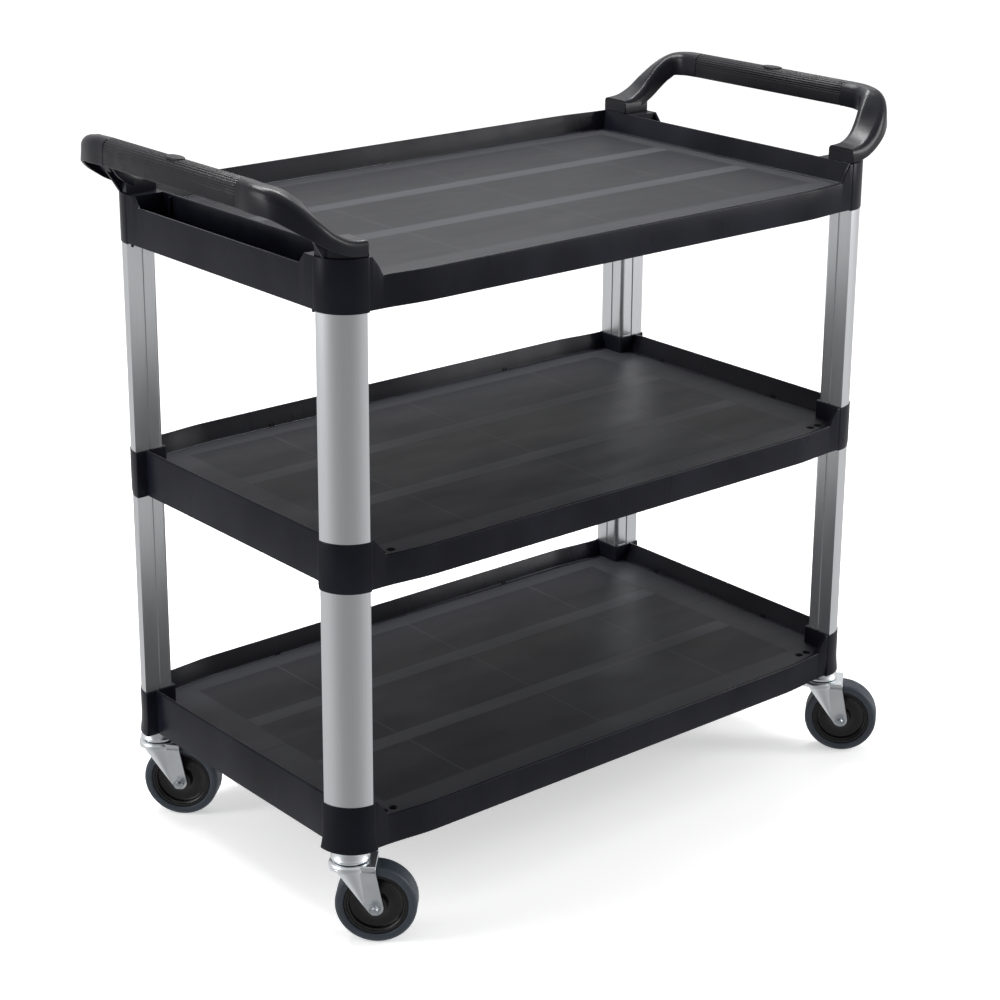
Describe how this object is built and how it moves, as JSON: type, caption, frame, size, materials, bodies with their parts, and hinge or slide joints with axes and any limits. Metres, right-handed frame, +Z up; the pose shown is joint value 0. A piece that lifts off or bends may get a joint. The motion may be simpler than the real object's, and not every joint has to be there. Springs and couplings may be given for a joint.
{
  "type": "food service trolley",
  "caption": "Service trolley with moulded shelves low-lipped on one side, aluminium corner posts, end push handles and swivel castors.",
  "frame": {"origin": "centre of the bounding box's footprint, on the floor that the wheels stand on", "axes": "+X along the length, from the left handle to the right one; +Y across, to the side whose shelf walls are tall (the low front lip is on -Y); +Z up"},
  "size_m": [1.0244, 0.5774, 0.9515],
  "materials": {
    "shelf_plastic": "fine moulded grain, semi matte",
    "handle_plastic": "smooth, semi gloss",
    "anodised_aluminium": "satin anodised extrusion",
    "bright_zinc": "bright zinc plate",
    "plain_steel": "zinc plated steel",
    "hub_plastic": "moulded, semi gloss",
    "grey_tread": "slate grey non-marking tread"
  },
  "bodies": {
    "cart": {"bottom_shelf": "shelf_plastic", "middle_shelf": "shelf_plastic", "top_shelf": "shelf_plastic", "handle_left": "handle_plastic", "handle_right": "handle_plastic", "handle_screws": "plain_steel", "lower_post_front_left": "anodised_aluminium", "lower_post_rear_left": "anodised_aluminium", "lower_post_front_right": "anodised_aluminium", "lower_post_rear_right": "anodised_aluminium", "upper_post_front_left": "anodised_aluminium", "upper_post_rear_left": "anodised_aluminium", "upper_post_front_right": "anodised_aluminium", "upper_post_rear_right": "anodised_aluminium", "caster_stem_front_left": "bright_zinc", "caster_stem_rear_left": "bright_zinc", "caster_stem_front_right": "bright_zinc", "caster_stem_rear_right": "bright_zinc", "ball_ring_front_left": "plain_steel", "ball_ring_rear_left": "plain_steel", "ball_ring_front_right": "plain_steel", "ball_ring_rear_right": "plain_steel"},
    "swivel_front_left": {"fork_front_left": "bright_zinc", "axle_bolt_front_left": "plain_steel", "axle_nut_front_left": "plain_steel", "axle_bush_front_left": "plain_steel"},
    "wheel_front_left": {"wheel_hub_front_left": "hub_plastic", "tyre_front_left": "grey_tread"},
    "swivel_rear_left": {"fork_rear_left": "bright_zinc", "axle_bolt_rear_left": "plain_steel", "axle_nut_rear_left": "plain_steel", "axle_bush_rear_left": "plain_steel"},
    "wheel_rear_left": {"wheel_hub_rear_left": "hub_plastic", "tyre_rear_left": "grey_tread"},
    "swivel_front_right": {"fork_front_right": "bright_zinc", "axle_bolt_front_right": "plain_steel", "axle_nut_front_right": "plain_steel", "axle_bush_front_right": "plain_steel"},
    "wheel_front_right": {"wheel_hub_front_right": "hub_plastic", "tyre_front_right": "grey_tread"},
    "swivel_rear_right": {"fork_rear_right": "bright_zinc", "axle_bolt_rear_right": "plain_steel", "axle_nut_rear_right": "plain_steel", "axle_bush_rear_right": "plain_steel"},
    "wheel_rear_right": {"wheel_hub_rear_right": "hub_plastic", "tyre_rear_right": "grey_tread"}
  },
  "joints": [
    {"name": "swivel_front_left", "type": "hinge", "parent": "cart", "child": "swivel_front_left", "pos_m": [-0.42, -0.217, 0.105], "axis": [0, 0, 1], "continuous": true},
    {"name": "roll_front_left", "type": "hinge", "parent": "swivel_front_left", "child": "wheel_front_left", "pos_m": [-0.3966, -0.23882, 0.0508], "axis": [0.682, 0.7314, 0], "continuous": true},
    {"name": "swivel_rear_left", "type": "hinge", "parent": "cart", "child": "swivel_rear_left", "pos_m": [-0.42, 0.217, 0.105], "axis": [0, 0, 1], "continuous": true},
    {"name": "roll_rear_left", "type": "hinge", "parent": "swivel_rear_left", "child": "wheel_rear_left", "pos_m": [-0.39859, 0.19322, 0.0508], "axis": [0.7431, 0.6691, 0], "continuous": true},
    {"name": "swivel_front_right", "type": "hinge", "parent": "cart", "child": "swivel_front_right", "pos_m": [0.42, -0.217, 0.105], "axis": [0, 0, 1], "continuous": true},
    {"name": "roll_front_right", "type": "hinge", "parent": "swivel_front_right", "child": "wheel_front_right", "pos_m": [0.44057, -0.24151, 0.0508], "axis": [0.766, 0.6428, 0], "continuous": true},
    {"name": "swivel_rear_right", "type": "hinge", "parent": "cart", "child": "swivel_rear_right", "pos_m": [0.42, 0.217, 0.105], "axis": [0, 0, 1], "continuous": true},
    {"name": "roll_rear_right", "type": "hinge", "parent": "swivel_rear_right", "child": "wheel_rear_right", "pos_m": [0.39943, 0.24151, 0.0508], "axis": [-0.766, -0.6428, 0], "continuous": true}
  ]
}
